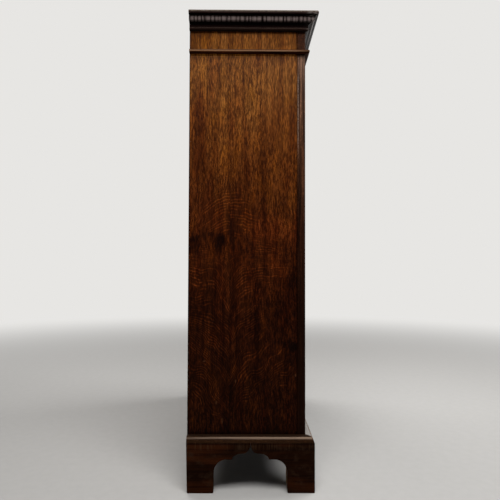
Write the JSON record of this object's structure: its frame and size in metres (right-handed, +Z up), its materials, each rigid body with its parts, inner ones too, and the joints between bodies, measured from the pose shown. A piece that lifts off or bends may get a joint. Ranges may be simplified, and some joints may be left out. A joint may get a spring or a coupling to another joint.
{
  "type": "display cabinet",
  "caption": "Oak display cabinet on bracket feet with a moulded cornice, glazed doors on butt hinges, housed shelves, a lock with its key and slide bolts.",
  "frame": {"origin": "on the floor, under the middle of the cabinet's bounding box", "axes": "+Z up, doors face -Y, +X to the right as seen from the front"},
  "size_m": [0.962, 0.327, 1.2],
  "materials": {
    "oak": "waxed quarter-sawn oak, warm brown",
    "dark_oak": "polished oak, stained nearly black",
    "pine": "bare sawn pine, dusty",
    "brass": "aged brass",
    "glass": "clear window glass"
  },
  "bodies": {
    "carcase": {"side_left": "oak", "side_right": "oak", "top_board": "oak", "bottom_board": "oak", "back_board_1": "pine", "back_board_2": "pine", "back_board_3": "pine", "face_stile_left": "oak", "face_stile_right": "oak", "bottom_rail": "oak", "frieze_rail": "oak", "cornice_front": "dark_oak", "cornice_left": "dark_oak", "cornice_right": "dark_oak", "astragal_front": "oak", "astragal_left": "oak", "astragal_right": "oak", "base_moulding_front": "oak", "base_moulding_left": "oak", "base_moulding_right": "oak", "front_bracket_left": "dark_oak", "front_bracket_right": "dark_oak", "side_bracket_left_front": "dark_oak", "side_bracket_left_rear": "dark_oak", "side_bracket_right_front": "dark_oak", "side_bracket_right_rear": "dark_oak", "foot_block_left_front": "pine", "foot_block_left_rear": "pine", "foot_block_right_front": "pine", "foot_block_right_rear": "pine", "shelf_1": "oak", "shelf_2": "oak", "shelf_3": "oak", "left_door_lower_hinge_frame_leaf": "brass", "left_door_upper_hinge_frame_leaf": "brass", "right_door_lower_hinge_frame_leaf": "brass", "right_door_upper_hinge_frame_leaf": "brass"},
    "left_door": {"left_door_hinge_stile": "oak", "left_door_meeting_stile": "oak", "left_door_top_rail": "oak", "left_door_bottom_rail": "oak", "left_door_glazing_bars": "oak", "left_door_glass": "glass", "left_door_lower_hinge_door_leaf": "brass", "left_door_upper_hinge_door_leaf": "brass", "left_door_top_bolt_plate": "brass", "left_door_bottom_bolt_plate": "brass"},
    "right_door": {"right_door_hinge_stile": "oak", "right_door_meeting_stile": "oak", "right_door_top_rail": "oak", "right_door_bottom_rail": "oak", "right_door_glazing_bars": "oak", "right_door_glass": "glass", "right_door_lower_hinge_door_leaf": "brass", "right_door_upper_hinge_door_leaf": "brass", "right_door_lock_case": "brass"},
    "lock_bolt": {"right_door_lock_bolt": "brass"},
    "key": {"key": "brass"},
    "top_bolt": {"left_door_top_bolt": "brass"},
    "bottom_bolt": {"left_door_bottom_bolt": "brass"}
  },
  "joints": [
    {"name": "left_door_swing", "type": "hinge", "parent": "carcase", "child": "left_door", "pos_m": [-0.4041, -0.1354, 0.1525], "axis": [0, 0, -1], "range_deg": [0, 165]},
    {"name": "right_door_swing", "type": "hinge", "parent": "carcase", "child": "right_door", "pos_m": [0.4041, -0.1354, 0.1525], "axis": [0, 0, 1], "range_deg": [0, 165]},
    {"name": "key_turn", "type": "hinge", "parent": "right_door", "child": "key", "pos_m": [0.0235, -0.1325, 0.64], "axis": [0, -1, 0], "range_deg": [0, 180]},
    {"name": "lock_bolt_throw", "type": "slide", "parent": "right_door", "child": "lock_bolt", "axis": [-1, 0, 0], "range_m": [0, 0.01]},
    {"name": "top_bolt_slide", "type": "slide", "parent": "left_door", "child": "top_bolt", "axis": [0, 0, 1], "range_m": [0, 0.012]},
    {"name": "bottom_bolt_slide", "type": "slide", "parent": "left_door", "child": "bottom_bolt", "axis": [0, 0, -1], "range_m": [0, 0.012]}
  ],
  "couplings": [
    {"joint": "key_turn", "follows": "lock_bolt_throw", "rad_per_m": 314.15}
  ]
}
